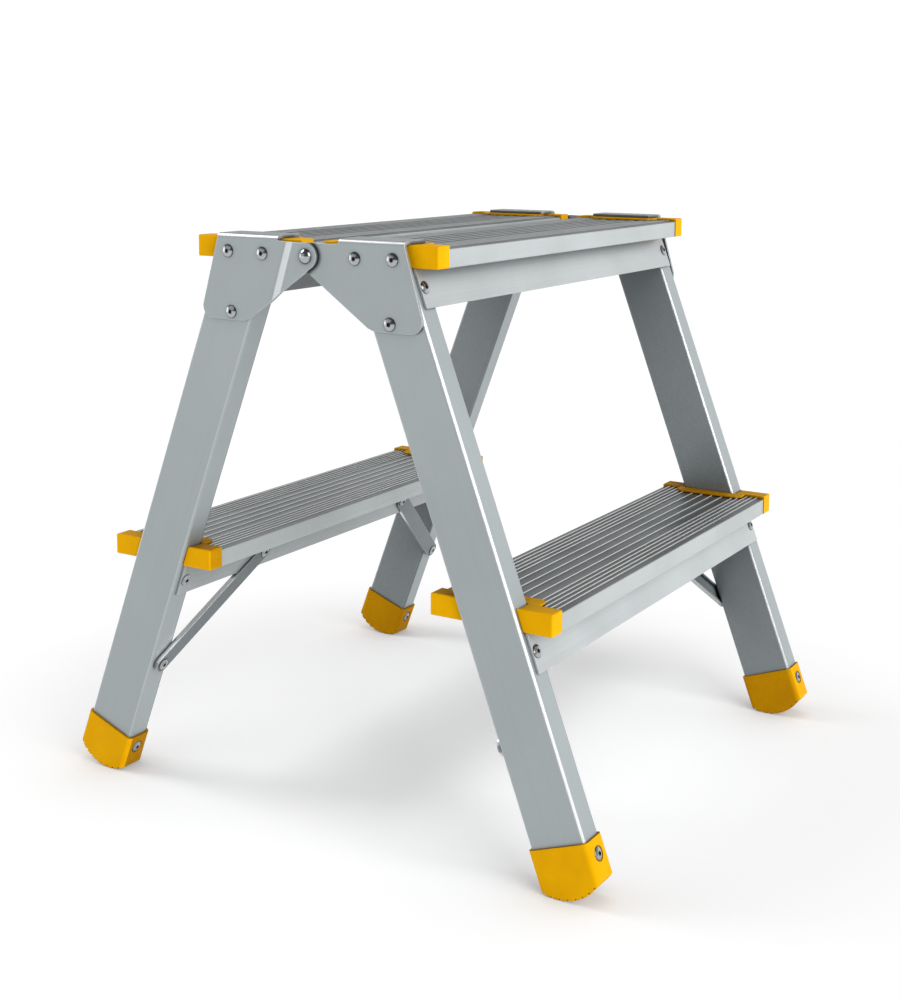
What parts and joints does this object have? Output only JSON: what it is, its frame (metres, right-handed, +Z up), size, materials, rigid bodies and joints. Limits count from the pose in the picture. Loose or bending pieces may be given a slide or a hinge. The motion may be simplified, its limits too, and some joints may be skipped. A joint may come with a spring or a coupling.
{
  "type": "double-sided step trestle",
  "caption": "Low folding step trestle of aluminium: two ladder halves with ribbed treads, hinged below the platform, with yellow plastic tread caps and rocker feet.",
  "frame": {"origin": "on the floor, midway between the four feet, straight below the hinge axis", "axes": "+X along the treads, +Y from the front half to the rear half, +Z up"},
  "size_m": [0.4414, 0.4762, 0.4441],
  "materials": {
    "stile_aluminium": "extruded tube, finely brushed along its length",
    "tread_aluminium": "extruded profile with bright rib tops",
    "plate_metal": "satin grey pressed sheet",
    "brace_metal": "satin flat bar",
    "rivet_metal": "bright rivet steel",
    "yellow_plastic": "moulded, slightly grained"
  },
  "bodies": {
    "front_frame": {"front_stile_left": "stile_aluminium", "front_stile_right": "stile_aluminium", "front_top_tread": "tread_aluminium", "front_lower_tread": "tread_aluminium", "front_top_cap_left": "yellow_plastic", "front_lower_cap_left": "yellow_plastic", "front_foot_left": "yellow_plastic", "front_hinge_plate_left": "plate_metal", "front_brace_left": "brace_metal", "front_top_cap_right": "yellow_plastic", "front_lower_cap_right": "yellow_plastic", "front_foot_right": "yellow_plastic", "front_hinge_plate_right": "plate_metal", "front_brace_right": "brace_metal", "front_brace_spacers": "rivet_metal", "front_plate_rivets": "rivet_metal", "front_tread_rivets": "rivet_metal", "front_brace_rivets": "rivet_metal", "front_foot_rivets": "rivet_metal", "pivot_rivet_left": "rivet_metal", "pivot_rivet_right": "rivet_metal"},
    "rear_frame": {"rear_stile_left": "stile_aluminium", "rear_stile_right": "stile_aluminium", "rear_top_tread": "tread_aluminium", "rear_lower_tread": "tread_aluminium", "rear_top_cap_left": "yellow_plastic", "rear_lower_cap_left": "yellow_plastic", "rear_foot_left": "yellow_plastic", "rear_hinge_plate_left": "plate_metal", "rear_brace_left": "brace_metal", "rear_top_cap_right": "yellow_plastic", "rear_lower_cap_right": "yellow_plastic", "rear_foot_right": "yellow_plastic", "rear_hinge_plate_right": "plate_metal", "rear_brace_right": "brace_metal", "rear_brace_spacers": "rivet_metal", "rear_plate_rivets": "rivet_metal", "rear_tread_rivets": "rivet_metal", "rear_brace_rivets": "rivet_metal", "rear_foot_rivets": "rivet_metal"}
  },
  "joints": [
    {"name": "fold_hinge", "type": "hinge", "parent": "front_frame", "child": "rear_frame", "pos_m": [0, 0, 0.4304], "axis": [-1, 0, 0], "range_deg": [0, 42]}
  ]
}
